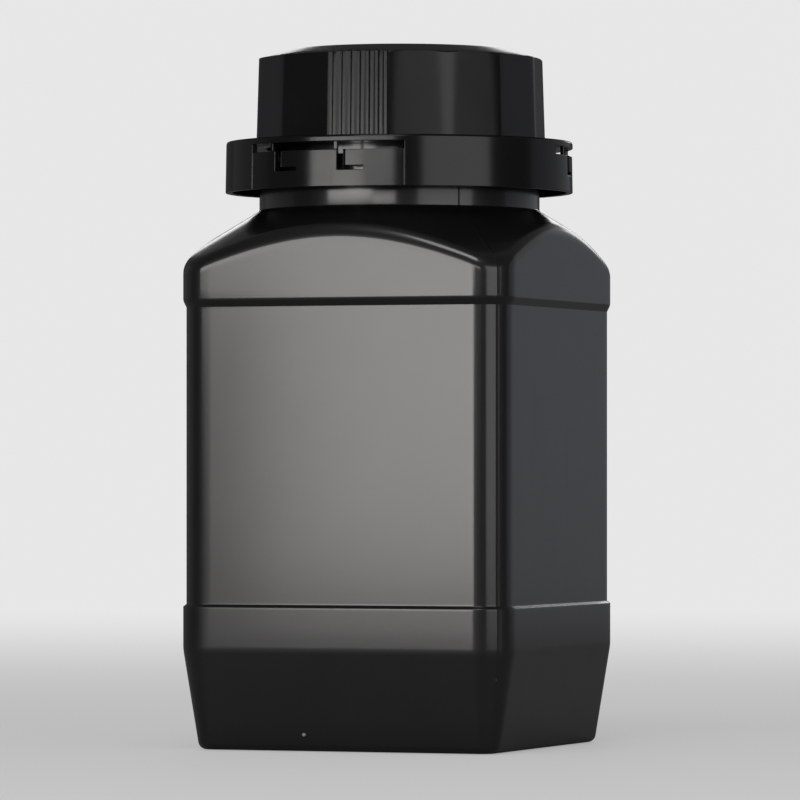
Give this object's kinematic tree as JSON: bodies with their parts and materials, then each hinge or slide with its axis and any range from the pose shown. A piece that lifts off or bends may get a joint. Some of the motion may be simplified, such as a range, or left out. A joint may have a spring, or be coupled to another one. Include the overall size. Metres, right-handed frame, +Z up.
{
  "type": "square media bottle",
  "caption": "Square blow-moulded wide-mouth laboratory bottle with a ribbed screw cap and a slotted tamper-evident flange.",
  "frame": {"origin": "middle of the base, on the surface the bottle stands on", "axes": "+Z up along the bottle, flat sides square to X and Y"},
  "size_m": [0.089, 0.089, 0.178],
  "materials": {
    "bottle_plastic": "satin blow-moulded black polyethylene",
    "liner_foam": "closed-cell foam sheet",
    "cap_plastic": "smooth injection-moulded black polypropylene"
  },
  "bodies": {
    "bottle": {"bottle": "bottle_plastic"},
    "liner": {"liner": "liner_foam"},
    "cap": {"cap": "cap_plastic"}
  },
  "joints": [
    {"name": "cap_lift", "type": "slide", "parent": "bottle", "child": "liner", "axis": [0, 0, 1], "range_m": [0, 0.0485]},
    {"name": "cap_turn", "type": "hinge", "parent": "liner", "child": "cap", "pos_m": [0, 0, 0.15], "axis": [0, 0, 1], "range_deg": [0, 2880]}
  ],
  "couplings": [
    {"joint": "cap_lift", "follows": "cap_turn", "m_per_rad": 0.00095493}
  ]
}
